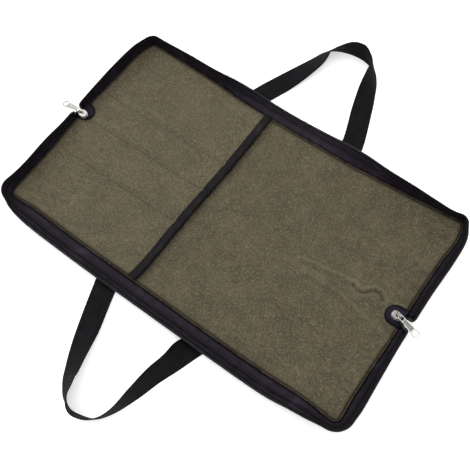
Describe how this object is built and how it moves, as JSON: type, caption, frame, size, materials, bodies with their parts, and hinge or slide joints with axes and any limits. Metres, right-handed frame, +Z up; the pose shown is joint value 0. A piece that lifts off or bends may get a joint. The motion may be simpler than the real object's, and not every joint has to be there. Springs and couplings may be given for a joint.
{
  "type": "chef knife roll",
  "caption": "Zip-up canvas knife case lying open and flat, with a stitched pocket row, a raised zip band round its edge and two webbing carrying loops.",
  "frame": {"origin": "middle of the canvas underside, on the floor it lies on", "axes": "+X along the long side from the pocket end to the open end, +Y from the near loop to the far loop, +Z up"},
  "size_m": [0.5684, 0.6268, 0.0323],
  "materials": {
    "waxed_canvas": "matt waxed cotton canvas",
    "black_nylon": "matt woven nylon, purple-black",
    "piping_cloth": "narrow covered cord, dull grey olive",
    "coil_nylon": "dark grey nylon coil",
    "nickel": "satin nickel plate"
  },
  "bodies": {
    "case": {"canvas_panel": "waxed_canvas", "pocket_panel": "waxed_canvas", "pocket_binding": "black_nylon", "near_gusset": "black_nylon", "near_zip_tape": "black_nylon", "near_zip_coil": "coil_nylon", "near_piping": "piping_cloth", "far_gusset": "black_nylon", "far_zip_tape": "black_nylon", "far_zip_coil": "coil_nylon", "far_piping": "piping_cloth", "left_tab": "black_nylon", "right_tab": "black_nylon", "left_slider": "nickel", "right_slider": "nickel", "near_handle": "black_nylon", "far_handle": "black_nylon"},
    "left_pull": {"left_pull": "nickel"},
    "right_pull": {"right_pull": "nickel"}
  },
  "joints": [
    {"name": "left_pull_hinge", "type": "hinge", "parent": "case", "child": "left_pull", "pos_m": [-0.25939, -0.0015, 0.01738], "axis": [-0.0521, 0.9986, 0.0046], "range_deg": [0, 160]},
    {"name": "right_pull_hinge", "type": "hinge", "parent": "case", "child": "right_pull", "pos_m": [0.24736, -0.00471, 0.0154], "axis": [-0.2748, -0.9613, -0.0181], "range_deg": [0, 160]}
  ]
}
